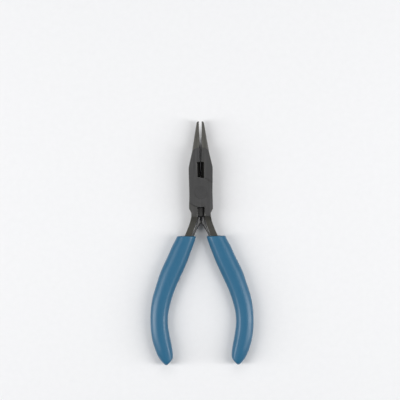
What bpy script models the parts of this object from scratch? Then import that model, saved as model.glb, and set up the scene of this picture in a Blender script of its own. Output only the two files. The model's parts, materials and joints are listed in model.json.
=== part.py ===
"""Needle-nose jewellery pliers with a lap joint, leaf springs and sleeve grips.

The tool lies on its back: +Y towards the jaw tips, +X to the right, +Z out of the front face.
The origin is where the pivot axis meets the joint's back face. One half is a single forging: the
left jaw, half of the joint's thickness and the right tang. The other half is the same forging
turned over about the tool's long axis. Each half is drawn with the jaws shut and then turned
about the pivot to the slightly open rest position.
"""

import math

import bmesh
import bpy
from mathutils import Matrix, Vector

MM = 0.001

# Driving dimensions, in millimetres, with the jaws shut.
THICKNESS = 8.0  # of the joint and of the grips
MID = THICKNESS / 2  # height of the plane that the two halves share
REST_HALF_ANGLE = 1.05  # degrees that each half is open at rest
JAW_LENGTH = 35.1  # from the pivot to the tip
FACE_OFFSET = 0.05  # of each gripping face from the middle plane
JOINT_HALF_WIDTH = 5.72
LAP_RADIUS = 7.2  # of the round edges of a lap plate
LAP_EDGE_GAP = 0.15  # between a lap plate and the recess that it turns in
LAP_FACE_GAP = 0.15  # between the two lap plates

# Nose: from the tip down, half-width and half-height of its oval section.
NOSE_START = 22.1  # where the cone meets the joint's flat faces
NOSE_RINGS = (
    (35.1, 0.55, 0.60),
    (34.85, 0.92, 0.95),
    (34.4, 1.20, 1.22),
    (NOSE_START, 3.47, 4.0),
)
# Below the nose the section opens out into the joint's flat faces and straight sides.
RAMP_RINGS = (
    (21.7, 3.54, 5.3),
    (21.3, 3.61, 7.2),
    (20.8, 3.70, 11.0),
    (20.1, 3.84, 19.0),
    (19.4, 4.00, 40.0),
    (18.4, 6.50, 60.0),
    (8.0, 12.0, 60.0),
    (-100.0, 60.0, 60.0),
)
NOSE_SIDES = 64

# Outer edge of the jaw, before the nose is rounded.
JAW_EDGE = ((-2.6, 36.5), (-3.98, 19.4))
SHOULDER_CORNER = (-JOINT_HALF_WIDTH, 12.3)
SHOULDER_FILLET = 9.0

# Cutter: a rectangular window beside the pivot, with a bevelled blade on each jaw.
WINDOW_DEPTH = 1.5
WINDOW_LOW = 7.5
WINDOW_HIGH = 15.1
WINDOW_BACK_DROP = 0.7  # the window reaches this much lower at the back
BLADE_HALF_HEIGHT = 1.5
BLADE_LAND = 0.06  # half the height left on the cutting edge

# Teeth: fine grooves straight across the gripping face.
TOOTH_PITCH = 0.8
TOOTH_DEPTH = 0.2
TOOTH_HALF_WIDTH = 0.28
TOOTH_FIRST = 16.4
TOOTH_COUNT = 23

# Slot between the tangs, below the lap plates, and the lug that each half has in it.
SLOT_HALF_WIDTH = 1.62
SLOT_END = -11.3
LUG_REACH = 1.0  # past the middle plane
LUG_END = -11.6
LUG_HEIGHT = 1.35
LUG_GAP = 0.35  # between the lug and the edge of the recess above it
LUG_ROOT = 1.0  # how far the lug runs into the tang
LUG_SLOPE = 0.6  # by which its lower edge rises inside the tang

# Waist below the joint, on the outer side.
HIP = (JOINT_HALF_WIDTH, -8.0)
WAIST = (4.62, -10.2)

# Tang: centre line x, y and half-width.
TANG_STATIONS = (
    (3.08, -12.3, 1.58),
    (3.86, -15.4, 1.5),
    (5.8, -20.9, 1.58),
    (9.0, -28.3, 1.6),
    (12.95, -38.0, 1.6),
    (16.7, -47.5, 1.6),
    (19.15, -56.0, 1.6),
    (19.7, -63.0, 1.5),
    (19.1, -70.0, 1.4),
    (17.6, -76.5, 1.25),
)
TANG_HALF_THICKNESS = 2.25
TANG_ROOT_STEP = 0.4  # the tang's back is this far above the joint's back face
# Where the forging thins from the joint to the tang: y, and height past the tang's faces.
THIN_START = -11.5
THIN_BACK_START = -11.8
THIN_KNEE = (-12.6, 1.0)
THIN_RUN = (-14.5, 0.35)
THIN_END = -18.0

# Pivot rivet and its holes.
RIVET_RADIUS = 2.5
RIVET_HEAD_RADIUS = 3.1
RIVET_HEAD_DEPTH = 0.7
RIVET_CLEARANCE = 0.06

# Leaf spring, thicker towards its free end: x, y and half the thickness of the free part.
SPRING_FREE = (
    (0.8, -12.3, 0.55),
    (0.72, -13.3, 0.7),
    (0.6, -14.4, 0.82),
    (0.78, -15.2, 0.82),
    (1.22, -16.0, 0.74),
    (1.86, -17.2, 0.62),
    (2.68, -19.0, 0.52),
    (3.46, -20.7, 0.5),
)
SPRING_THICKNESS = 1.0  # of the part that lies on the tang
SPRING_HALF_WIDTH = 1.8
SPRING_GAP = 0.12  # between the spring and the tang's side
SPRING_SEAT = (2.36, 3.0)  # stretch of the tang that it lies on, in stations
SPRING_END_ROOM = 0.06  # left below its end in the grip, in stations
SPRING_SIDE_ROOM = 0.15  # left beside it in the grip

# Rivet that holds the spring.
SPRING_RIVET_STATION = 2.66
SPRING_RIVET_RADIUS = 0.75
SPRING_RIVET_HEAD_RADIUS = 1.35
SPRING_RIVET_HEAD_HEIGHT = 0.55
SPRING_RIVET_CROWN = 0.7  # radius of the head's flat top, as a part of the head's radius
SPRING_RIVET_WALL = 0.4  # height of the head's straight side, as a part of its height
SPRING_RIVET_SHORT = 0.15  # it ends this far inside the tang's outer side
SPRING_RIVET_CLEARANCE = 0.1

# Grip: inner and outer edge, from the mouth to the cut end.
GRIP_STATIONS = (
    ((2.15, -21.6), (11.45, -21.6)),
    ((3.0, -24.6), (12.25, -23.3)),
    ((4.45, -28.8), (13.9, -26.6)),
    ((6.95, -35.6), (16.5, -32.6)),
    ((9.54, -41.6), (19.3, -38.8)),
    ((12.13, -47.6), (21.56, -45.8)),
    ((14.12, -53.6), (23.44, -52.6)),
    ((15.41, -59.5), (24.26, -59.3)),
    ((15.56, -65.2), (24.19, -66.0)),
    ((14.7, -70.8), (23.37, -72.6)),
    ((13.61, -76.0), (21.46, -78.6)),
    ((13.04, -79.8), (19.39, -82.6)),
    ((13.09, -82.3), (16.33, -85.9)),
)
GRIP_SQUARENESS = 2.8  # 2 is an ellipse, and more is squarer
GRIP_SIDES = 24
GRIP_RIM = 0.5
GRIP_END_RIM = 0.8
GRIP_END_THIN = 0.6  # by which the grip's end is thinner than its middle, on each face
GRIP_CLEARANCE = 0.25
POCKET_START = 1.9  # station of the tang, just outside the grip's mouth

OPEN_SIDES = 72  # sides of the round cuts and edges in the forging
BEYOND = 1.0  # how far a cutter runs past the faces that it cuts


def remove_everything():
    for obj in list(bpy.data.objects):
        bpy.data.objects.remove(obj, do_unlink=True)


def in_metres(points):
    return [tuple(value * MM for value in point) for point in points]


# Curves in a plane.


def arc(radius, start, end, steps=24, centre=(0.0, 0.0)):
    """Points on an arc, from one angle to another, in degrees."""
    angles = [math.radians(start + (end - start) * i / steps) for i in range(steps + 1)]
    return [(centre[0] + radius * math.cos(a), centre[1] + radius * math.sin(a)) for a in angles]


def fillet(before, corner, after, radius, steps=8):
    """Points of the arc that rounds a corner."""
    corner = Vector(corner)
    towards_before = (Vector(before) - corner).normalized()
    towards_after = (Vector(after) - corner).normalized()
    half = towards_before.angle(towards_after) / 2
    start = corner + towards_before * (radius / math.tan(half))
    end = corner + towards_after * (radius / math.tan(half))
    centre = corner + (towards_before + towards_after).normalized() * (radius / math.sin(half))
    first, last = start - centre, end - centre
    turn = first.angle_signed(last)
    points = []
    for i in range(steps + 1):
        angle = -turn * i / steps
        cos, sin = math.cos(angle), math.sin(angle)
        x = centre.x + first.x * cos - first.y * sin
        y = centre.y + first.x * sin + first.y * cos
        points.append((x, y))
    return points


def along(stations, t):
    """Smooth value at station t (a fraction lies between two stations), each a tuple of numbers."""
    last = len(stations) - 1
    i = min(int(t), last - 1)
    u = t - i
    quad = [stations[min(max(i + k, 0), last)] for k in (-1, 0, 1, 2)]
    if i == 0:
        quad[0] = tuple(2 * a - b for a, b in zip(quad[1], quad[2]))
    if i == last - 1:
        quad[3] = tuple(2 * b - a for a, b in zip(quad[1], quad[2]))
    return tuple(
        0.5 * (2 * b + (c - a) * u + (2 * a - 5 * b + 4 * c - d) * u * u + (3 * b - a - 3 * c + d) * u**3)
        for a, b, c, d in zip(*quad)
    )


def tang_frame(t):
    """Centre, outward direction and half-width of the tang at station t."""
    x, y, half_width = along(TANG_STATIONS, t)
    step = 0.02
    ahead = along(TANG_STATIONS, min(t + step, len(TANG_STATIONS) - 1))
    behind = along(TANG_STATIONS, max(t - step, 0))
    down = Vector((ahead[0] - behind[0], ahead[1] - behind[1])).normalized()
    return Vector((x, y)), Vector((-down.y, down.x)), half_width


def tang_edge(side, margin=0.0, first=0.0, steps=3):
    """The tang's inner (side -1) or outer (side 1) edge, from a station to its end."""
    last = len(TANG_STATIONS) - 1
    count = int((last - first) * steps)
    points = []
    for i in range(count + 1):
        centre, outward, half_width = tang_frame(first + (last - first) * i / count)
        points.append(tuple(centre + outward * side * (half_width + margin)))
    return points


# Solids.


def add_object(name, bm):
    bmesh.ops.recalc_face_normals(bm, faces=bm.faces)
    mesh = bpy.data.meshes.new(name)
    bm.to_mesh(mesh)
    bm.free()
    obj = bpy.data.objects.new(name, mesh)
    bpy.context.scene.collection.objects.link(obj)
    return obj


def loft(name, rings):
    """A closed solid through rings of equal length, with flat ends. Points are in millimetres."""
    bm = bmesh.new()
    loops = [[bm.verts.new(point) for point in in_metres(ring)] for ring in rings]
    count = len(rings[0])
    for lower, upper in zip(loops, loops[1:]):
        for i in range(count):
            j = (i + 1) % count
            bm.faces.new((lower[i], lower[j], upper[j], upper[i]))
    bm.faces.new(loops[0][::-1])
    bm.faces.new(loops[-1])
    return add_object(name, bm)


def prism(name, outline, low, high, axis="Z"):
    """An outline pushed along an axis: x, y along Z; y, z along X; x, z along Y."""
    place = {
        "Z": lambda a, b, c: (a, b, c),
        "X": lambda a, b, c: (c, a, b),
        "Y": lambda a, b, c: (a, c, b),
    }[axis]
    return loft(name, [[place(a, b, c) for a, b in outline] for c in (low, high)])


def turned(name, profile, sides=OPEN_SIDES):
    """A solid of revolution about Z from pairs of radius and height."""
    return loft(name, [[(x, y, z) for x, y in arc(r, 0, 360, sides)[:-1]] for r, z in profile])


def combine(target, tool, operation):
    """Joins, cuts or trims a solid with a tool, which is then removed."""
    modifier = target.modifiers.new(operation.lower(), "BOOLEAN")
    modifier.operation = operation
    modifier.object = tool
    graph = bpy.context.evaluated_depsgraph_get()
    result = bpy.data.meshes.new_from_object(target.evaluated_get(graph))
    target.modifiers.clear()
    target.data = result
    result.name = target.name
    bpy.data.objects.remove(tool, do_unlink=True)


# The forging.


def half_outline():
    """Outline of one half seen from the front, jaws shut: left jaw, lap plate, right tang."""
    side_angle = math.degrees(math.acos(JOINT_HALF_WIDTH / LAP_RADIUS))
    slot_angle = math.degrees(math.acos(SLOT_HALF_WIDTH / LAP_RADIUS))
    face_angle = math.degrees(math.acos(-FACE_OFFSET / LAP_RADIUS))
    outline = [(-FACE_OFFSET, JAW_EDGE[0][1])]
    outline += JAW_EDGE
    outline += fillet(JAW_EDGE[1], SHOULDER_CORNER, (-JOINT_HALF_WIDTH, 0.0), SHOULDER_FILLET)
    outline += arc(LAP_RADIUS, 180 + side_angle, 360 - slot_angle)
    outline += [(SLOT_HALF_WIDTH, SLOT_END)]
    outline += tang_edge(-1)
    outline += tang_edge(1)[::-1]
    outline += [WAIST, HIP]
    outline += arc(LAP_RADIUS, side_angle, face_angle)
    return outline


def nose_envelope():
    """The oval cone of the closed nose, opening out around everything below it."""
    rings = []
    for y, half_width, half_height in NOSE_RINGS + RAMP_RINGS:
        oval = arc(1.0, 0, 360, NOSE_SIDES)[:-1]
        rings.append([(half_width * c, y, MID + half_height * s) for c, s in oval])
    return loft("nose_envelope", rings)


def side_profile():
    """Side view of one half: full thickness at the joint and jaw, thinner along the tang."""
    top, bottom = THICKNESS + BEYOND, -BEYOND
    tang_top, tang_bottom = MID + TANG_HALF_THICKNESS, MID - TANG_HALF_THICKNESS
    past_end = 2 * TANG_STATIONS[-1][1]
    outline = [
        (JAW_LENGTH + BEYOND, top),
        (THIN_START, top),
        (THIN_START, THICKNESS),
        (THIN_KNEE[0], tang_top + THIN_KNEE[1]),
        (THIN_RUN[0], tang_top + THIN_RUN[1]),
        (THIN_END, tang_top),
        (past_end, tang_top),
        (past_end, tang_bottom),
        (THIN_END, tang_bottom),
        (THIN_RUN[0], tang_bottom - THIN_RUN[1]),
        (THIN_BACK_START, TANG_ROOT_STEP),
        (0.0, TANG_ROOT_STEP),
        (0.0, bottom),
        (JAW_LENGTH + BEYOND, bottom),
    ]
    half_span = JAW_LENGTH
    return prism("side_profile", outline, -half_span, half_span, axis="X")


def window_cutter(low, high, blade_low, blade_high):
    """One side of the cutter window, from beyond a face down to the bevel of the blade."""
    outline = [
        (-WINDOW_DEPTH, high),
        (-WINDOW_DEPTH, blade_high),
        (-FACE_OFFSET, blade_low),
        (BEYOND, blade_low),
        (BEYOND, high),
    ]
    return prism("window_cutter", outline, low, WINDOW_HIGH, axis="Y")


def tooth_cutter():
    """All grooves across the gripping face as one comb."""
    crest = 2 * FACE_OFFSET
    outline = [(BEYOND, TOOTH_FIRST - TOOTH_PITCH / 2)]
    run = TOOTH_HALF_WIDTH * (crest + FACE_OFFSET + TOOTH_DEPTH) / TOOTH_DEPTH
    for i in range(TOOTH_COUNT):
        y = TOOTH_FIRST + i * TOOTH_PITCH
        outline += [(crest, y - run), (-FACE_OFFSET - TOOTH_DEPTH, y), (crest, y + run)]
    outline += [(BEYOND, TOOTH_FIRST + (TOOTH_COUNT - 0.5) * TOOTH_PITCH)]
    return prism("tooth_cutter", outline, -BEYOND, THICKNESS + BEYOND)


def pivot_profile(clearance):
    """The rivet, countersunk at both ends, or its hole where clearance is above zero."""
    body = RIVET_RADIUS + clearance
    head = RIVET_HEAD_RADIUS + clearance
    return [
        (head, 0.0),
        (body, RIVET_HEAD_DEPTH),
        (body, THICKNESS - RIVET_HEAD_DEPTH),
        (head, THICKNESS),
    ]


def pivot_hole():
    profile = pivot_profile(RIVET_CLEARANCE)
    head = profile[0][0]
    return turned("pivot_hole", [(head, -BEYOND)] + profile + [(head, THICKNESS + BEYOND)])


def along_outward(profile, name, sides=24):
    """A turned piece whose axis crosses the tang where the spring is riveted to it."""
    centre, outward, _ = tang_frame(SPRING_RIVET_STATION)
    obj = turned(name, profile, sides)
    turn = Vector((0, 0, 1)).rotation_difference(Vector((outward.x, outward.y, 0)))
    place = Matrix.Translation(Vector((centre.x, centre.y, MID)) * MM)
    obj.data.transform(place @ turn.to_matrix().to_4x4())
    return obj


def spring_rivet_profile(clearance):
    """From under the head, on the spring's inner face, to the tang's outer side."""
    half_width = tang_frame(SPRING_RIVET_STATION)[2]
    under_head = -(half_width + SPRING_GAP + SPRING_THICKNESS + SPRING_GAP)
    radius = SPRING_RIVET_RADIUS + clearance
    head = SPRING_RIVET_HEAD_RADIUS + clearance
    wall = SPRING_RIVET_HEAD_HEIGHT * SPRING_RIVET_WALL
    return [
        (SPRING_RIVET_CROWN * head, under_head - SPRING_RIVET_HEAD_HEIGHT - clearance),
        (head, under_head - wall - clearance),
        (head, under_head),
        (radius, under_head),
        (radius, half_width - SPRING_RIVET_SHORT),
    ]


def forging():
    """One half of the tool, in one piece."""
    half = prism("forging", half_outline(), 0.0, THICKNESS)
    combine(half, nose_envelope(), "INTERSECT")
    combine(half, side_profile(), "INTERSECT")
    recess_top = MID + LAP_FACE_GAP / 2
    recess = arc(LAP_RADIUS + LAP_EDGE_GAP, 0, 360, 2 * OPEN_SIDES)[:-1]
    combine(half, prism("lap_recess", recess, -BEYOND, recess_top), "DIFFERENCE")
    lug_top = MID - LAP_FACE_GAP / 2
    recess_edge = -math.sqrt((LAP_RADIUS + LAP_EDGE_GAP) ** 2 - SLOT_HALF_WIDTH**2)
    lug_start = recess_edge - LUG_GAP
    lug_root = SLOT_HALF_WIDTH + LUG_ROOT
    lug = [
        (-LUG_REACH, lug_start),
        (lug_root, lug_start),
        (lug_root, LUG_END + LUG_SLOPE),
        (SLOT_HALF_WIDTH, LUG_END),
        (-LUG_REACH, LUG_END),
    ]
    combine(half, prism("lug", lug, lug_top - LUG_HEIGHT, lug_top), "UNION")
    above = window_cutter(WINDOW_LOW, THICKNESS + BEYOND, MID + BLADE_LAND, MID + BLADE_HALF_HEIGHT)
    combine(half, above, "DIFFERENCE")
    back_low = WINDOW_LOW - WINDOW_BACK_DROP
    below = window_cutter(back_low, -BEYOND, MID - BLADE_LAND, MID - BLADE_HALF_HEIGHT)
    combine(half, below, "DIFFERENCE")
    combine(half, tooth_cutter(), "DIFFERENCE")
    combine(half, pivot_hole(), "DIFFERENCE")
    centre_to_side = tang_frame(SPRING_RIVET_STATION)[2] + BEYOND
    radius = SPRING_RIVET_RADIUS + SPRING_RIVET_CLEARANCE
    through = along_outward([(radius, -centre_to_side), (radius, centre_to_side)], "spring_hole")
    combine(half, through, "DIFFERENCE")
    return half


def pivot_rivet():
    return turned("pivot_rivet", pivot_profile(0.0))


# The leaf spring and its rivet.


def spring_line():
    """Leaf spring's middle line and half-thickness, from its free end to its seat on the tang."""
    points = list(SPRING_FREE)
    seat_from, seat_to = SPRING_SEAT
    for i in range(5):
        centre, outward, half_width = tang_frame(seat_from + (seat_to - seat_from) * i / 4)
        offset = half_width + SPRING_GAP + SPRING_THICKNESS / 2
        points.append((*(centre - outward * offset), SPRING_THICKNESS / 2))
    steps = 3
    count = (len(points) - 1) * steps
    return [along(points, i / steps) for i in range(count + 1)]


def leaf_spring():
    """A strip that stands on edge along the spring's middle line."""
    stations = spring_line()
    line = [Vector(station[:2]) for station in stations]
    low, high = MID - SPRING_HALF_WIDTH, MID + SPRING_HALF_WIDTH
    rings = []
    for i, point in enumerate(line):
        ahead = line[min(i + 1, len(line) - 1)]
        behind = line[max(i - 1, 0)]
        down = (ahead - behind).normalized()
        across = Vector((-down.y, down.x)) * stations[i][2]
        left, right = tuple(point - across), tuple(point + across)
        rings.append([(*left, low), (*right, low), (*right, high), (*left, high)])
    spring = loft("leaf_spring", rings)
    past_strip = tang_frame(SPRING_RIVET_STATION)[2] + 2 * SPRING_THICKNESS + BEYOND
    radius = SPRING_RIVET_RADIUS + SPRING_RIVET_CLEARANCE
    hole = along_outward([(radius, -past_strip), (radius, 0.0)], "spring_hole")
    combine(spring, hole, "DIFFERENCE")
    return spring


def spring_rivet():
    return along_outward(spring_rivet_profile(0.0), "spring_rivet")


# The grip.


def grip_section(inner, outer, half_height, inset):
    """A rounded section that stands across the grip between its inner and outer edge."""
    inner, outer = Vector(inner), Vector(outer)
    centre = (inner + outer) / 2
    across = (outer - inner).normalized()
    half_width = (outer - inner).length / 2 - inset
    half_height -= inset
    ring = []
    for c, s in arc(1.0, 0, 360, GRIP_SIDES)[:-1]:
        u = half_width * math.copysign(abs(c) ** (2 / GRIP_SQUARENESS), c)
        z = half_height * math.copysign(abs(s) ** (2 / GRIP_SQUARENESS), s)
        ring.append((centre.x + across.x * u, centre.y + across.y * u, MID + z))
    return ring


def grip_sleeve():
    """The outer shape of the grip, with a rounded rim at both ends."""
    flat = [inner + outer for inner, outer in GRIP_STATIONS]
    last = len(flat) - 1
    steps = 3
    # Station, and how far the section is drawn in there.
    mouth = [(0.0, GRIP_RIM), (0.06, 0.35 * GRIP_RIM), (0.2, 0.0)]
    middle = [(i / steps, 0.0) for i in range(1, last * steps)]
    end = [(last - 0.18, 0.0), (last - 0.05, 0.3 * GRIP_END_RIM), (last, 0.8 * GRIP_END_RIM)]
    rings = []
    for t, inset in mouth + middle + end:
        x_in, y_in, x_out, y_out = along(flat, t)
        taper = max(0.0, t - (last - 2)) / 2
        half_height = MID - GRIP_END_THIN * taper
        rings.append(grip_section((x_in, y_in), (x_out, y_out), half_height, inset))
    return loft("grip", rings)


def tang_pocket():
    """The room that the tang takes inside the grip."""
    centre, outward, _ = tang_frame(len(TANG_STATIONS) - 1)
    down = Vector((outward.y, -outward.x))
    end = centre + down * 2 * GRIP_CLEARANCE
    outline = tang_edge(-1, GRIP_CLEARANCE, POCKET_START) + [tuple(end)]
    outline += tang_edge(1, GRIP_CLEARANCE, POCKET_START)[::-1]
    reach = TANG_HALF_THICKNESS + GRIP_CLEARANCE
    return prism("tang_pocket", outline, MID - reach, MID + reach)


def spring_pocket():
    """The room that the spring's seat takes beside the tang, open at the mouth."""
    past_seat = SPRING_SEAT[1] + SPRING_END_ROOM
    tang_side = [tuple(tang_frame(t)[0]) for t in (POCKET_START, SPRING_SEAT[0], past_seat)]
    end_centre, end_outward, half_width = tang_frame(past_seat)
    mouth_centre, mouth_outward, _ = tang_frame(POCKET_START)
    reach = half_width + SPRING_GAP + SPRING_THICKNESS + SPRING_SIDE_ROOM
    outline = tang_side + [tuple(end_centre - end_outward * reach)]
    outline += [tuple(mouth_centre - mouth_outward * reach)]
    height = SPRING_HALF_WIDTH + GRIP_CLEARANCE
    return prism("spring_pocket", outline, MID - height, MID + height)


def grip():
    sleeve = grip_sleeve()
    combine(sleeve, tang_pocket(), "DIFFERENCE")
    combine(sleeve, spring_pocket(), "DIFFERENCE")
    head_room = spring_rivet_profile(GRIP_CLEARANCE)
    combine(sleeve, along_outward(head_room, "rivet_pocket"), "DIFFERENCE")
    return sleeve


# Materials.


def material(name, colour, metallic, roughness):
    made = bpy.data.materials.new(name)
    made.use_nodes = True
    shader = made.node_tree.nodes["Principled BSDF"]
    shader.inputs["Base Color"].default_value = (*colour, 1.0)
    shader.inputs["Metallic"].default_value = metallic
    shader.inputs["Roughness"].default_value = roughness
    return made


def place(piece, name, frame, finish):
    """Names a piece, gives it its finish and hangs it on the frame of its half."""
    piece.name = name
    piece.data.name = name
    piece.data.materials.clear()
    piece.data.materials.append(finish)
    piece.data.shade_smooth()
    piece.data.set_sharp_from_angle(angle=math.radians(35))
    piece.parent = frame


def twin_of(piece):
    """A second piece of the same shape."""
    twin = piece.copy()
    twin.data = piece.data.copy()
    bpy.context.scene.collection.objects.link(twin)
    return twin


def half_frame(name, location, rotation):
    """An empty on the pivot axis that carries everything fastened to one half."""
    frame = bpy.data.objects.new(name, None)
    bpy.context.scene.collection.objects.link(frame)
    frame.location = location
    frame.rotation_euler = rotation
    return frame


def build():
    remove_everything()
    open_angle = math.radians(REST_HALF_ANGLE)
    front = half_frame("front_frame", (0.0, 0.0, 0.0), (0.0, 0.0, open_angle))
    rear = half_frame("rear_frame", (0.0, 0.0, THICKNESS * MM), (0.0, math.pi, -open_angle))
    blackened = material("blackened_steel", (0.075, 0.073, 0.070), 0.9, 0.42)
    spring_steel = material("spring_steel", (0.30, 0.30, 0.29), 1.0, 0.35)
    rivet_steel = material("rivet_steel", (0.10, 0.10, 0.10), 0.9, 0.40)
    vinyl = material("blue_vinyl", (0.035, 0.135, 0.255), 0.0, 0.42)
    pairs = (
        (forging(), "front_half", "rear_half", blackened),
        (leaf_spring(), "right_leaf_spring", "left_leaf_spring", spring_steel),
        (spring_rivet(), "right_spring_rivet", "left_spring_rivet", rivet_steel),
        (grip(), "right_grip", "left_grip", vinyl),
    )
    for piece, front_name, rear_name, finish in pairs:
        place(twin_of(piece), rear_name, rear, finish)
        place(piece, front_name, front, finish)
    place(pivot_rivet(), "pivot_rivet", front, rivet_steel)


build()
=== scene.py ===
"""Looks of the needle-nose pliers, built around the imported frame.

Everything is in the row frame, in metres. The tool lies on its back: +Y towards the jaw tips,
+X to the right, +Z out of the front face. The pivot axis is parallel to Z through the origin.
Constants are in millimetres, unless they are written with MM, which makes them metres.
"""

import json
import math

import bmesh
import bpy
from mathutils import Matrix, Vector


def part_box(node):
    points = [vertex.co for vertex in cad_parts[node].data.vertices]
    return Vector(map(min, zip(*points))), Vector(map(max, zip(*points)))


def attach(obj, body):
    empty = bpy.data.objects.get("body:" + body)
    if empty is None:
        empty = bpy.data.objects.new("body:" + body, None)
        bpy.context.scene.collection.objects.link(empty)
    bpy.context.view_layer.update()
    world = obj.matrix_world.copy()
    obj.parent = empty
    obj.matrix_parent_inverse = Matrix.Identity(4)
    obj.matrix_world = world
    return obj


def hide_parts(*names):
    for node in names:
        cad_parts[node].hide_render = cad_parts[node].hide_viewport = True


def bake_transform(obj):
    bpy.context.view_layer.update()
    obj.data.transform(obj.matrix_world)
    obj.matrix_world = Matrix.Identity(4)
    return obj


MM = 0.001

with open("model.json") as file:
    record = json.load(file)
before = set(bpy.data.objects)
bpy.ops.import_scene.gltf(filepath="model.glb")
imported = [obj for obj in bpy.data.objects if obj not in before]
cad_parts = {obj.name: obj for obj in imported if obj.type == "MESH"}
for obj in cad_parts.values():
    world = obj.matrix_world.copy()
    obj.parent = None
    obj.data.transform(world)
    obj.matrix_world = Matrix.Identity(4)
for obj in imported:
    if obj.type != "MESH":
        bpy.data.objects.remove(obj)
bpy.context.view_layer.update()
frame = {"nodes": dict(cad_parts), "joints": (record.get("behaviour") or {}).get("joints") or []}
PIVOT = Vector(frame["joints"][0]["pos_m"])
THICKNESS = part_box("pivot_rivet")[1].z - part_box("pivot_rivet")[0].z
MID = THICKNESS / 2


# ---------------------------------------------------------------- node materials


class Finish:
    """A node material under construction. Lengths inside its textures are in millimetres."""

    def __init__(self, name):
        self.material = bpy.data.materials.new(name)
        self.material.use_nodes = True
        self.tree = self.material.node_tree
        self.shader = self.tree.nodes["Principled BSDF"]
        place = self.tree.nodes.new("ShaderNodeTexCoord")
        to_millimetres = {"Vector": place.outputs["Object"], "Scale": (1 / MM,) * 3}
        self.point = self.node("ShaderNodeMapping", to_millimetres).outputs["Vector"]

    def node(self, kind, inputs=None, **settings):
        made = self.tree.nodes.new(kind)
        for key, value in settings.items():
            setattr(made, key, value)
        for key, value in (inputs or {}).items():
            self.feed(made.inputs[key], value)
        return made

    def feed(self, socket, value):
        if isinstance(value, bpy.types.NodeSocket):
            self.tree.links.new(value, socket)
        else:
            socket.default_value = value

    def set(self, **values):
        """Sets sockets of the shader: Base_Color means Base Color."""
        for key, value in values.items():
            self.feed(self.shader.inputs[key.replace("_", " ")], value)

    def math(self, operation, a, b=0.0):
        made = self.node("ShaderNodeMath", operation=operation)
        self.feed(made.inputs[0], a)
        self.feed(made.inputs[1], b)
        return made.outputs[0]

    def axes(self, vector):
        return self.node("ShaderNodeSeparateXYZ", {"Vector": vector}).outputs

    def noise(self, scale, detail=3.0, roughness=0.55, distortion=0.0, stretch=(1, 1, 1)):
        """Noise of that many cells to a millimetre, from 0 to 1, stretched by a scale for each axis."""
        place = self.node("ShaderNodeMapping", {"Vector": self.point, "Scale": stretch})
        inputs = {"Vector": place.outputs["Vector"], "Scale": scale, "Detail": detail}
        inputs.update({"Roughness": roughness, "Distortion": distortion})
        return self.node("ShaderNodeTexNoise", inputs).outputs["Fac"]

    def ramp(self, value, low, high, low_out=0.0, high_out=1.0):
        """Maps low..high to low_out..high_out, smoothly and clamped."""
        inputs = {"Value": value, "From Min": low, "From Max": high, "To Min": low_out, "To Max": high_out}
        return self.node("ShaderNodeMapRange", inputs, interpolation_type="SMOOTHSTEP").outputs["Result"]

    def mix(self, factor, a, b):
        """Mixes two colours."""
        made = self.node("ShaderNodeMix", data_type="RGBA")
        self.feed(made.inputs[0], factor)
        for socket, value in ((made.inputs[6], a), (made.inputs[7], b)):
            self.feed(socket, value if isinstance(value, bpy.types.NodeSocket) else (*value, 1.0))
        return made.outputs[2]

    def blend(self, factor, a, b):
        """Mixes two numbers."""
        made = self.node("ShaderNodeMix", data_type="FLOAT")
        for place, value in ((0, factor), (2, a), (3, b)):
            self.feed(made.inputs[place], value)
        return made.outputs[0]

    def bump(self, height, depth, normal=None):
        """Bump of that depth in millimetres."""
        inputs = {"Height": height, "Distance": depth * MM, "Strength": 1.0}
        if normal is not None:
            inputs["Normal"] = normal
        return self.node("ShaderNodeBump", inputs).outputs["Normal"]


# Where the forging's finish changes, in millimetres: each pair is where a change starts and ends.
FLAT_EDGE = (0.02, 0.12)  # depth below a ground flat
HIP_LOW = (-12.4, -11.0)
HIP_HIGH = (-3.0, -1.0)
SLOT_LOW = (-12.0, -11.0)
SLOT_HIGH = (-7.0, -6.6)
WINDOW_LOW = (6.6, 6.9)
WINDOW_HIGH = (15.1, 15.4)
JOINT_TOP = (6.4, 6.8)
OPENING_EDGE = (1.66, 1.80)  # half-width of the slot and the window
OPENING_DEPTH = (0.05, 0.25)
SKIN_FADE = (-4.0, 20.0)  # from the olive tangs to the lighter nose


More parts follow.
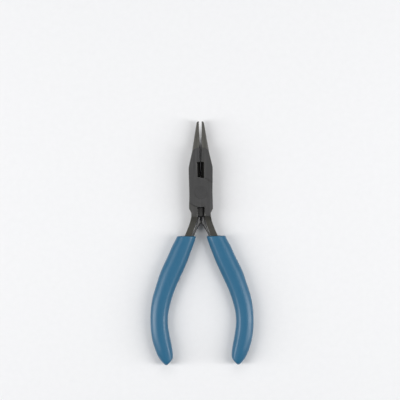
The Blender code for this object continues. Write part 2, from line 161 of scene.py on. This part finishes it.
def forged_steel(name, edge=False):
    """Black-finished forging: ground flats with fine streaks, and olive-grey forged skin elsewhere, with
    painted shade in the slot, the window and on the gripping faces; with edge, the lighter finish of the
    rounded edges, partly a painted highlight.
    """
    made = Finish(name)
    x, y, z = made.axes(made.point)
    normal = made.axes(made.node("ShaderNodeNewGeometry").outputs["Normal"])
    top = THICKNESS / MM
    front = made.ramp(z, top - FLAT_EDGE[1], top - FLAT_EDGE[0])
    back = made.ramp(z, *FLAT_EDGE, 1.0, 0.0)
    hip = made.math("MULTIPLY", made.ramp(y, *HIP_LOW), made.ramp(y, *HIP_HIGH, 0.7, 0.0))
    ground = made.math("MAXIMUM", made.math("MAXIMUM", front, back), hip)

    # Grinding marks run along the tool.
    fine = made.noise(1.0, 4.0, 0.6, stretch=(5.5, 0.10, 1.0))
    broad = made.noise(1.0, 2.0, 0.5, stretch=(1.15, 0.045, 1.0))
    streaks = made.math("ADD", made.math("MULTIPLY", fine, 0.55), made.math("MULTIPLY", broad, 0.45))
    cloud = made.noise(0.22, 3.0, 0.6, 0.4)
    skin = made.noise(1.5, 6.0, 0.62, 0.3)
    pits = made.ramp(made.noise(3.2, 2.0, 0.5), 0.60, 0.74)

    ground_colour = made.mix(streaks, (0.050, 0.049, 0.049), (0.124, 0.123, 0.123))
    ground_colour = made.mix(made.ramp(cloud, 0.35, 0.75, 0.0, 0.3), ground_colour, (0.068, 0.067, 0.064))
    tang_colour = made.mix(skin, (0.062, 0.0605, 0.0525), (0.079, 0.077, 0.068))
    nose_colour = made.mix(skin, (0.096, 0.093, 0.083), (0.128, 0.125, 0.114))
    skin_colour = made.mix(made.ramp(y, *SKIN_FADE), tang_colour, nose_colour)
    skin_colour = made.mix(made.math("MULTIPLY", pits, 0.25), skin_colour, (0.045, 0.043, 0.038))
    colour = made.mix(ground, skin_colour, ground_colour)

    # Painted shade: the gripping faces, the window and the slot get a near-black colour for the shade in
    # these deep recesses, over the own black oxide of the gripping faces and of the blades in the window.
    inner = made.ramp(made.math("ABSOLUTE", x), *OPENING_EDGE, 1.0, 0.0)
    below_flat = made.ramp(z, top - OPENING_DEPTH[1], top - OPENING_DEPTH[0], 1.0, 0.0)
    deep = made.math("MULTIPLY", below_flat, inner)
    sideways = made.ramp(made.math("ABSOLUTE", normal[0]), 0.75, 0.9)
    gripping = made.math("MULTIPLY", made.math("MULTIPLY", deep, made.ramp(y, *JOINT_TOP)), sideways)
    # The slot's share is painted shade only, strongest on its level faces.
    slot = made.math("MULTIPLY", made.ramp(y, *SLOT_LOW), made.ramp(y, *SLOT_HIGH, 1.0, 0.0))
    slot = made.math("MULTIPLY", slot, deep)
    slot = made.math("MULTIPLY", slot, made.ramp(sideways, 0.0, 1.0, 0.35, 0.0))
    window = made.math("MULTIPLY", made.ramp(y, *WINDOW_LOW), made.ramp(y, *WINDOW_HIGH, 1.0, 0.0))
    window = made.math("MULTIPLY", window, deep)
    oxide_and_painted_shade = made.math("MAXIMUM", made.math("MAXIMUM", gripping, slot), window)
    # The painted shade is mixed in here, near-black where the recess masks are.
    colour = made.mix(made.math("MULTIPLY", oxide_and_painted_shade, 0.72), colour, (0.016, 0.016, 0.018))
    # Painted highlight: the rounded edges get a lighter colour for the bright lines that light draws along
    # them, over the bare steel that wear leaves there.
    if edge:
        colour = made.mix(made.noise(0.9, 4.0), (0.10, 0.099, 0.094), (0.17, 0.168, 0.16))
    made.set(Base_Color=colour, Metallic=0.78)

    skin_rough = made.ramp(skin, 0.3, 0.7, 0.42, 0.58)
    rough = made.blend(ground, skin_rough, made.ramp(streaks, 0.3, 0.7, 0.36, 0.50))
    rough = made.blend(oxide_and_painted_shade, rough, 0.65)
    made.set(Roughness=0.34 if edge else rough)
    height = made.blend(ground, skin, made.math("MULTIPLY", streaks, 0.5))
    made.set(Normal=made.bump(height, 0.014))
    return made.material


def bright_steel(name, colour_low, colour_high, roughness, along=(0.25, 0.25, 6.0)):
    """Drawn or turned steel with fine marks."""
    made = Finish(name)
    marks = made.noise(1.0, 4.0, 0.6, stretch=along)
    blotch = made.noise(0.8, 3.0, 0.6)
    mixed = made.math("ADD", made.math("MULTIPLY", marks, 0.6), made.math("MULTIPLY", blotch, 0.4))
    made.set(Base_Color=made.mix(mixed, colour_low, colour_high), Metallic=0.9)
    made.set(Roughness=made.ramp(marks, 0.3, 0.7, roughness - 0.06, roughness + 0.08))
    made.set(Normal=made.bump(mixed, 0.012))
    return made.material


def vinyl(name):
    """Soft blue PVC: slight mottling, an orange-peel skin and a satin gloss."""
    made = Finish(name)
    cloud = made.noise(0.12, 3.0, 0.55, 0.5)
    mottle = made.noise(0.9, 4.0, 0.6)
    peel = made.noise(2.2, 3.0, 0.5)
    grain = made.noise(9.0, 2.0, 0.5)
    mixed = made.math("ADD", made.math("MULTIPLY", cloud, 0.6), made.math("MULTIPLY", mottle, 0.4))
    colour = made.mix(mixed, (0.007, 0.099, 0.193), (0.014, 0.117, 0.220))
    specks = made.ramp(made.noise(4.5, 1.0), 0.72, 0.80)
    colour = made.mix(made.math("MULTIPLY", specks, 0.2), colour, (0.06, 0.18, 0.28))
    made.set(Base_Color=colour)
    made.set(Roughness=made.ramp(mottle, 0.3, 0.7, 0.36, 0.43))
    made.set(IOR=1.53, Coat_Weight=0.12, Coat_Roughness=0.3)
    soft = made.bump(peel, 0.012)
    made.set(Normal=made.bump(grain, 0.003, soft))
    return made.material


# ---------------------------------------------------------------- meshes and pieces


REST_HALF_ANGLE = math.radians(1.05)  # that each half is open at rest


def loft(rings):
    """A closed skin over rings with equal numbers of points."""
    bm = bmesh.new()
    loops = [[bm.verts.new(point) for point in ring] for ring in rings]
    count = len(loops[0])
    for lower, upper in zip(loops, loops[1:]):
        for i in range(count):
            j = (i + 1) % count
            bm.faces.new((lower[i], lower[j], upper[j], upper[i]))
    bm.faces.new(loops[0][::-1])
    bm.faces.new(loops[-1])
    bmesh.ops.recalc_face_normals(bm, faces=bm.faces)
    return bm


def open_to_rest(bm):
    """Turns what was drawn with the jaws shut to the slightly open rest position."""
    bmesh.ops.transform(bm, matrix=Matrix.Rotation(REST_HALF_ANGLE, 4, "Z"), verts=bm.verts)


def piece_from(bm, name, finishes=()):
    """Puts a finished mesh into the scene as an object."""
    mesh = bpy.data.meshes.new(name)
    bm.to_mesh(mesh)
    bm.free()
    for finish in finishes:
        mesh.materials.append(finish)
    piece = bpy.data.objects.new(name, mesh)
    bpy.context.scene.collection.objects.link(piece)
    return piece


# ---------------------------------------------------------------- finer copies of the CAD nodes


SMALLEST_ROUNDING = 0.015
ROUNDING_SEGMENTS = 3
ROUNDED_CORNER = math.radians(28.0)  # a corner sharper than this is rounded
WELD = 0.03
TANG_START = -11.0  # below this, corners that should be one lie further apart
TANG_WELD = 3 * WELD
SLIVER_HEIGHT = 0.06
LEVEL = math.radians(6.0)
SAME_PLANE = math.radians(0.4)


def room_beside(edge):
    """How wide the rounding of an edge may be before it runs past the edges that leave its ends."""
    room = 1.0
    for vertex in edge.verts:
        way = (edge.other_vert(vertex).co - vertex.co).normalized()
        for other in vertex.link_edges:
            if other is edge:
                continue
            leaving = (other.other_vert(vertex).co - vertex.co).normalized()
            sine = way.cross(leaving).length
            if sine > 0.3:
                room = min(room, 0.4 * other.calc_length() * sine)
    return room


def sliver_border(face):
    """The long edge between a very narrow face and the nearly level face beside it, if there is one."""
    edge = max(face.edges, key=lambda edge: edge.calc_length())
    height = 2 * face.calc_area() / edge.calc_length() / MM
    if height > SLIVER_HEIGHT or len(face.verts) > 4 or len(edge.link_faces) != 2:
        return None
    level = edge.calc_face_angle() < LEVEL
    return edge if level or height < 0.1 * SLIVER_HEIGHT else None


def merge_level_faces(bm):
    bmesh.ops.dissolve_limit(bm, angle_limit=SAME_PLANE, verts=bm.verts, edges=bm.edges, delimit={"SEAM"})


def mesh_of(node):
    """The node's mesh with its split and nearly touching corners welded.

    It is cut along X through the pivot, so that no flat face has a hole in it.
    """
    bm = bmesh.new()
    bm.from_mesh(frame["nodes"][node].data)
    bmesh.ops.remove_doubles(bm, verts=bm.verts, dist=WELD * MM)
    tang = [vertex for vertex in bm.verts if vertex.co.y < TANG_START * MM]
    bmesh.ops.remove_doubles(bm, verts=tang, dist=TANG_WELD * MM)
    for vertex in bm.verts:
        for level in (0.0, THICKNESS):
            if abs(vertex.co.z - level) < WELD * MM:
                vertex.co.z = level
    geometry = bm.verts[:] + bm.edges[:] + bm.faces[:]
    cut = bmesh.ops.bisect_plane(bm, geom=geometry, dist=0.001 * MM, plane_co=PIVOT, plane_no=(0, 1, 0))
    for item in cut["geom_cut"]:
        if isinstance(item, bmesh.types.BMEdge):
            item.seam = True
    for _ in range(2):
        merge_level_faces(bm)
        bm.normal_update()
        borders = [sliver_border(face) for face in bm.faces]
        # Each border once and in the faces' order, so that every run gives the same mesh.
        borders = list(dict.fromkeys(edge for edge in borders if edge is not None))
        bmesh.ops.dissolve_edges(bm, edges=borders)
        bmesh.ops.dissolve_degenerate(bm, dist=0.01 * MM, edges=bm.edges)
    merge_level_faces(bm)
    return bm


def is_flat(face):
    """Whether this is one of the flat faces, front or back, that everything is ground to."""
    return abs(face.normal.z) > 0.9995


def fine_copy(node, name, finishes, edge_width, widest):
    """A copy of a CAD node whose corners are rounded: edge_width gives each edge's rounding."""
    bm = mesh_of(node)
    bm.normal_update()
    weight = bm.edges.layers.float.new("bevel_weight_edge")
    for edge in bm.edges:
        if len(edge.link_faces) != 2:
            continue
        width = 0.0
        if edge.calc_face_angle() > ROUNDED_CORNER:
            middle = (edge.verts[0].co + edge.verts[1].co) / 2
            width = min(edge_width(middle / MM), room_beside(edge) / MM)
        if width > SMALLEST_ROUNDING:
            edge[weight] = width / widest
        elif is_flat(edge.link_faces[0]) != is_flat(edge.link_faces[1]):
            edge.smooth = False
    piece = piece_from(bm, name, finishes)
    piece.data.shade_smooth()
    rounding = piece.modifiers.new("rounding", "BEVEL")
    rounding.limit_method = "WEIGHT"
    rounding.width = widest * MM
    rounding.segments = ROUNDING_SEGMENTS
    rounding.use_clamp_overlap = False
    rounding.material = len(finishes) - 1
    weighted = piece.modifiers.new("weighted", "WEIGHTED_NORMAL")
    weighted.keep_sharp = True
    weighted.weight = 90
    apply_modifiers(piece)
    return piece


def apply_modifiers(piece):
    graph = bpy.context.evaluated_depsgraph_get()
    result = bpy.data.meshes.new_from_object(piece.evaluated_get(graph))
    old = piece.data
    piece.modifiers.clear()
    piece.data = result
    bpy.data.meshes.remove(old)
    result.name = piece.name


# ---------------------------------------------------------------- grips


# Inner and outer edge with the jaws shut, from the mouth to the cut end, in millimetres.
GRIP_STATIONS = (
    ((2.15, -21.6), (11.45, -21.6)),
    ((3.0, -24.6), (12.25, -23.3)),
    ((4.45, -28.8), (13.9, -26.6)),
    ((6.95, -35.6), (16.5, -32.6)),
    ((9.54, -41.6), (19.3, -38.8)),
    ((12.13, -47.6), (21.56, -45.8)),
    ((14.12, -53.6), (23.44, -52.6)),
    ((15.41, -59.5), (24.26, -59.3)),
    ((15.56, -65.2), (24.19, -66.0)),
    ((14.7, -70.8), (23.37, -72.6)),
    ((13.61, -76.0), (21.46, -78.6)),
    ((13.04, -79.8), (19.39, -82.6)),
    ((13.09, -82.3), (16.33, -85.9)),
)
GRIP_END_THIN = 0.6
# Rounding of the mouth and of the closed end: depth in millimetres, and length in stations.
GRIP_MOUTH = (0.5, 0.16)
GRIP_END = (1.0, 0.36)
GRIP_ROUND_STEPS = 6
GRIP_STEPS = 8  # rings to a station
GRIP_FINE = 3  # points around for each one of the section
# Upper half of the section, from the inner edge to the outer edge: share of the width, and
# height as a share of half the thickness. The crease is a fifth of the way across.
GRIP_SECTION = (
    (0.000, 0.00),
    (0.003, 0.20),
    (0.020, 0.42),
    (0.052, 0.57),
    (0.088, 0.67),
    (0.130, 0.765),
    (0.165, 0.835),
    (0.188, 0.876),
    (0.210, 0.907),
    (0.234, 0.931),
    (0.260, 0.947),
    (0.300, 0.961),
    (0.380, 0.980),
    (0.470, 0.996),
    (0.540, 1.000),
    (0.640, 0.988),
    (0.740, 0.945),
    (0.820, 0.868),
    (0.885, 0.765),
    (0.935, 0.630),
    (0.972, 0.46),
    (0.992, 0.24),
    (1.000, 0.00),
)


def along(stations, t):
    """Smooth value at station t (a fraction lies between two stations), each a tuple of numbers."""
    last = len(stations) - 1
    i = min(int(t), last - 1)
    u = t - i
    quad = [stations[min(max(i + k, 0), last)] for k in (-1, 0, 1, 2)]
    if i == 0:
        quad[0] = tuple(2 * a - b for a, b in zip(quad[1], quad[2]))
    if i == last - 1:
        quad[3] = tuple(2 * b - a for a, b in zip(quad[1], quad[2]))
    return tuple(
        0.5 * (2 * b + (c - a) * u + (2 * a - 5 * b + 4 * c - d) * u * u + (3 * b - a - 3 * c + d) * u**3)
        for a, b, c, d in zip(*quad)
    )


def grip_ring(t, inset):
    flat = [inner + outer for inner, outer in GRIP_STATIONS]
    x_in, y_in, x_out, y_out = along(flat, t)
    inner, outer = Vector((x_in, y_in)), Vector((x_out, y_out))
    centre, across = (inner + outer) / 2, (outer - inner).normalized()
    half_width = (outer - inner).length / 2 - inset
    taper = max(0.0, t - (len(flat) - 3)) / 2
    half_height = MID / MM - GRIP_END_THIN * taper - inset
    count = (len(GRIP_SECTION) - 1) * GRIP_FINE
    upper = [along(GRIP_SECTION, i / GRIP_FINE) for i in range(count + 1)]
    ring = []
    for share, height in upper + [(s, -h) for s, h in upper[-2:0:-1]]:
        place = centre + across * half_width * (2 * share - 1)
        ring.append(Vector((place.x, place.y, MID / MM + half_height * height)) * MM)
    return ring


def grip_shell(name):
    """The outside of the right grip, closed at both ends."""
    last = len(GRIP_STATIONS) - 1
    quarter = [math.pi / 2 * i / GRIP_ROUND_STEPS for i in range(GRIP_ROUND_STEPS)]
    mouth, mouth_run = GRIP_MOUTH
    end, end_run = GRIP_END
    stations = [(mouth_run * (1 - math.cos(angle)), mouth * (1 - math.sin(angle))) for angle in quarter]
    straight = range(math.ceil(mouth_run * GRIP_STEPS), int((last - end_run) * GRIP_STEPS) + 1)
    stations += [(i / GRIP_STEPS, 0.0) for i in straight]
    for angle in reversed(quarter):
        stations.append((last - end_run * (1 - math.cos(angle)), end * (1 - math.sin(angle))))
    bm = loft([grip_ring(t, inset) for t, inset in stations])
    open_to_rest(bm)
    return piece_from(bm, name)


def grown(node, margin, below=None):
    """A cutter: a CAD node grown by a margin, or the part of it below a height Y, in millimetres."""
    bm = mesh_of(node)
    if below is not None:
        geometry = bm.verts[:] + bm.edges[:] + bm.faces[:]
        plane = {"plane_co": (0, below * MM, 0), "plane_no": (0, 1, 0)}
        cut = bmesh.ops.bisect_plane(bm, geom=geometry, clear_outer=True, **plane)
        rim = [item for item in cut["geom_cut"] if isinstance(item, bmesh.types.BMEdge)]
        bmesh.ops.holes_fill(bm, edges=rim)
    bmesh.ops.recalc_face_normals(bm, faces=bm.faces)
    bm.normal_update()
    for vertex in bm.verts:
        vertex.co += vertex.normal * margin * MM
    return piece_from(bm, "cutter")


def cut_away(piece, cutter):
    modifier = piece.modifiers.new("cut", "BOOLEAN")
    modifier.operation = "DIFFERENCE"
    modifier.object = cutter
    apply_modifiers(piece)
    bpy.data.objects.remove(cutter, do_unlink=True)


def twin(piece, name):
    """The same piece for the other half, which is the first one turned over about the long axis."""
    other = bpy.data.objects.new(name, piece.data.copy())
    other.data.name = name
    bpy.context.scene.collection.objects.link(other)
    about = Matrix.Translation((0, 0, MID))
    flip = about @ Matrix.Rotation(math.pi, 4, "Y") @ about.inverted()
    other.data.transform(flip)
    return other


def smooth(piece, angle=32.0):
    piece.data.shade_smooth()
    piece.data.set_sharp_from_angle(angle=math.radians(angle))


# ---------------------------------------------------------------- leaf springs


# Tang: centre line x, y and half-width, with the jaws shut.
TANG_STATIONS = (
    (3.08, -12.3, 1.58),
    (3.86, -15.4, 1.5),
    (5.8, -20.9, 1.58),
    (9.0, -28.3, 1.6),
    (12.95, -38.0, 1.6),
)
# The spring's free part: x, y and half the thickness.
SPRING_FREE = (
    (0.8, -12.3, 0.55),
    (0.72, -13.3, 0.7),
    (0.6, -14.4, 0.82),
    (0.78, -15.2, 0.82),
    (1.22, -16.0, 0.74),
    (1.86, -17.2, 0.62),
    (2.68, -19.0, 0.52),
    (3.46, -20.7, 0.5),
)
SPRING_THICKNESS = 1.0
SPRING_HALF_WIDTH = 1.8
SPRING_GAP = 0.12
SPRING_SEAT = (2.36, 3.0)  # stretch of the tang that it lies on, in stations
SPRING_CORNER = 0.1
SPRING_LAND = 0.38  # width of the bright edge left beside the tang
SPRING_ROUND_DROP = 0.9  # the most that the inner corner's rounding comes down
SPRING_SEAT_POINTS = 5
SPRING_STEPS = 8  # rings between two points
LEVEL_FACE = 0.97  # a face of the strip that lies flatter than this is on its land


def spring_line():
    """The spring's middle line and half-thickness, from its free end to its seat on the tang."""
    points = list(SPRING_FREE)
    first, last = SPRING_SEAT
    for i in range(SPRING_SEAT_POINTS):
        t = first + (last - first) * i / (SPRING_SEAT_POINTS - 1)
        x, y, half_width = along(TANG_STATIONS, t)
        ahead, behind = along(TANG_STATIONS, t + 0.02), along(TANG_STATIONS, t - 0.02)
        down = Vector((ahead[0] - behind[0], ahead[1] - behind[1])).normalized()
        outward = Vector((-down.y, down.x))
        centre = Vector((x, y)) - outward * (half_width + SPRING_GAP + SPRING_THICKNESS / 2)
        points.append((*centre, SPRING_THICKNESS / 2))
    return [along(points, i / SPRING_STEPS) for i in range((len(points) - 1) * SPRING_STEPS + 1)]


def spring_section(half):
    """Upper half of the strip's section, from the inner side (at minus half) to the outer side."""
    crown = 2 * half - SPRING_LAND - SPRING_CORNER
    drop = min(crown, SPRING_ROUND_DROP)
    points = [(-half, 0.0)]
    for i in range(7):
        angle = math.pi / 2 * i / 6
        across = -half + crown * (1 - math.cos(angle))
        points.append((across, SPRING_HALF_WIDTH - drop * (1 - math.sin(angle))))
    for i in range(4):
        angle = math.pi / 2 * i / 3
        across = half - SPRING_CORNER * (1 - math.sin(angle))
        points.append((across, SPRING_HALF_WIDTH - SPRING_CORNER * (1 - math.cos(angle))))
    return points + [(half, 0.0)]


def spring_strip(name, side, land):
    """The right spring: a strip on edge, with its inner corners rounded off and a bright land: the land's
    lighter finish is partly a painted highlight, and the darker finish of the sides and rounded corners
    partly painted shade.
    """
    stations = spring_line()
    rings = []
    for i, (x, y, half) in enumerate(stations):
        ahead, behind = stations[min(i + 1, len(stations) - 1)], stations[max(i - 1, 0)]
        down = Vector((ahead[0] - behind[0], ahead[1] - behind[1])).normalized()
        outward = Vector((-down.y, down.x))
        upper = spring_section(half)
        ring = []
        for across, height in upper + [(a, -h) for a, h in upper[-2:0:-1]]:
            place = Vector((x, y)) + outward * across
            ring.append(Vector((place.x, place.y, MID / MM + height)) * MM)
        rings.append(ring)
    bm = loft(rings)
    for face in bm.faces:
        # Painted light: the level faces, the land, take the lighter finish as a painted highlight over the
        # cut edge's own brighter steel, and the sides and rounded inner corners the darker one as painted
        # shade over the spring steel's own dark colour.
        face.material_index = 1 if abs(face.normal.z) > LEVEL_FACE else 0
    open_to_rest(bm)
    return piece_from(bm, name, (side, land))


# ---------------------------------------------------------------- build


NOSE_START = 22.1
LAP_RADIUS = 7.2
HOLE_RADIUS = 3.16
TEETH_START = 15.3
CORNER_ROUNDING = 0.1
LAP_ROUNDING = 0.06
RECESS_ROUNDING = 0.03
PIN_ROUNDING = 0.02
GRIP_CLEARANCE = 0.14  # around what goes into a grip
HOLE_CLEARANCE = 0.1  # around the rivet, in the strip
GRIP_TOP = -19.0  # the forging is cut out of the grip only below this


def forging_rounding(point):
    """Rounding of the forging's edges, in millimetres, at a point in millimetres."""
    top = THICKNESS / MM
    on_face = point.z > top - 0.05 or point.z < 0.05
    radius = math.hypot(point.x, point.y)
    if radius < HOLE_RADIUS + 0.1:
        return 0.0  # pivot hole
    if point.y > TEETH_START and abs(point.x) < 0.95:
        return 0.0  # teeth
    if point.y > NOSE_START - 1.0 and abs(point.x) < 3.5:
        return 0.0  # the start of the cone, which is crisp, and the nose
    if abs(point.x) < 0.4 and abs(point.z - top / 2) < 0.6:
        return 0.0  # the blade
    if abs(radius - LAP_RADIUS) < 0.05:
        return LAP_ROUNDING if on_face else 0.0  # edge of the lap plate
    if radius < LAP_RADIUS + 0.25:
        return RECESS_ROUNDING if on_face else 0.0  # edge of the recess
    return CORNER_ROUNDING


def build_pieces():
    blackened = forged_steel("blackened_steel")
    # Finish of the rounded edges: bare worn steel and a painted highlight.
    wear_and_highlight = forged_steel("worn_edge_and_highlight", edge=True)
    # The spring's two finishes: painted shade on the darker sides, a painted highlight on the lighter land,
    # each over the steel's own colour.
    spring = bright_steel("spring_side_and_shade", (0.035, 0.035, 0.036), (0.06, 0.06, 0.06), 0.45)
    land = bright_steel("spring_edge_and_highlight", (0.10, 0.10, 0.098), (0.16, 0.16, 0.156), 0.40, (1.0, 1.0, 1.0))
    rivet = bright_steel("rivet_steel", (0.052, 0.051, 0.051), (0.118, 0.117, 0.117), 0.43, (5.5, 0.10, 1.0))
    blue = vinyl("blue_vinyl")

    forging = fine_copy(
        "front_half", "front_forging", (blackened, wear_and_highlight), forging_rounding, CORNER_ROUNDING
    )
    strip = spring_strip("right_spring_strip", spring, land)
    cut_away(strip, grown("right_spring_rivet", HOLE_CLEARANCE))
    smooth(strip, 40.0)
    rounding = CORNER_ROUNDING
    strip_rivet = fine_copy(
        "right_spring_rivet", "right_strip_rivet", (rivet, rivet), lambda point: rounding, rounding
    )
    sleeve = grip_shell("right_sleeve")
    cut_away(sleeve, grown("front_half", GRIP_CLEARANCE, below=GRIP_TOP))
    for node in ("right_leaf_spring", "right_spring_rivet"):
        cut_away(sleeve, grown(node, GRIP_CLEARANCE))
    sleeve.data.materials.append(blue)
    smooth(sleeve)
    rear_pieces = (
        (twin(forging, "rear_forging"), "rear_half", "blackened_steel"),
        (twin(strip_rivet, "left_strip_rivet"), "left_spring_rivet", "rivet_steel"),
        (twin(sleeve, "left_sleeve"), "left_grip", "blue_vinyl"),
    )
    left_strip = twin(strip, "left_spring_strip")
    pin = fine_copy("pivot_rivet", "rivet_pin", (rivet, rivet), lambda point: PIN_ROUNDING, PIN_ROUNDING)
    front_pieces = (
        (forging, "front_half", "blackened_steel"),
        (strip_rivet, "right_spring_rivet", "rivet_steel"),
        (sleeve, "right_grip", "blue_vinyl"),
        (pin, "pivot_rivet", "rivet_steel"),
    )
    for body, pieces in (("front_half", front_pieces), ("rear_half", rear_pieces)):
        for piece, node, slot in pieces:
            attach(piece, body)
            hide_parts(node)
    for piece, node, body, other in (
        (strip, "right_leaf_spring", "front_half", "rear_half"),
        (left_strip, "left_leaf_spring", "rear_half", "front_half"),
    ):
        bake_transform(piece)
        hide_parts(node)


# ---------------------------------------------------------------- floor, light and camera


FLOOR_HALF = 1600 * MM
FLOOR_HEIGHT = -0.05 * MM


def add_floor():
    made = Finish("floor_paper")
    grain = made.noise(0.35, 4.0, 0.6)
    made.set(Base_Color=made.mix(grain, (0.76, 0.76, 0.765), (0.80, 0.80, 0.805)), Roughness=0.85)
    bm = bmesh.new()
    square = ((-1, -1), (1, -1), (1, 1), (-1, 1))
    bm.faces.new([bm.verts.new((x * FLOOR_HALF, y * FLOOR_HALF, FLOOR_HEIGHT)) for x, y in square])
    floor = piece_from(bm, "floor", (made.material,))


def add_light(name, position, size, watts):
    data = bpy.data.lights.new(name, "AREA")
    data.shape = "RECTANGLE"
    data.size, data.size_y = size
    data.energy = watts
    light = bpy.data.objects.new(name, data)
    light.location = position
    light.rotation_euler = (-Vector(position)).to_track_quat("-Z", "Y").to_euler()
    bpy.context.scene.collection.objects.link(light)


def add_studio():
    add_light("left_box", (-0.62, -0.08, 0.52), (0.22, 0.85), 5.0)
    add_light("right_box", (0.62, -0.08, 0.52), (0.22, 0.85), 5.0)
    add_light("top_box", (0.0, 0.62, 0.75), (0.9, 0.35), 2.2)
    world = bpy.data.worlds.new("studio")
    world.use_nodes = True
    world.node_tree.nodes["Background"].inputs["Color"].default_value = (0.92, 0.95, 1.0, 1.0)
    world.node_tree.nodes["Background"].inputs["Strength"].default_value = 0.2
    bpy.context.scene.world = world
    bpy.context.scene.view_settings.view_transform = "Standard"


VIEW_ROLL = math.radians(-0.5)
VIEW_CENTRE = Vector((-0.42, -3.69)) * MM  # of the picture, from the pivot, before the roll
VIEW_WIDTH = 196.6 * MM  # across the picture at the tool's height
VIEW_DISTANCE = 0.95


def add_camera():
    data = bpy.data.cameras.new("camera")
    data.sensor_width = 36.0
    data.lens = data.sensor_width * VIEW_DISTANCE / VIEW_WIDTH
    data.clip_start, data.clip_end = 0.01, 10.0
    camera = bpy.data.objects.new("camera", data)
    centre = Matrix.Rotation(VIEW_ROLL, 2) @ VIEW_CENTRE
    camera.location = (centre.x, centre.y, THICKNESS + VIEW_DISTANCE)
    camera.rotation_euler = (0.0, 0.0, VIEW_ROLL)
    bpy.context.scene.collection.objects.link(camera)
    bpy.context.scene.camera = camera


build_pieces()
add_floor()
add_studio()
add_camera()
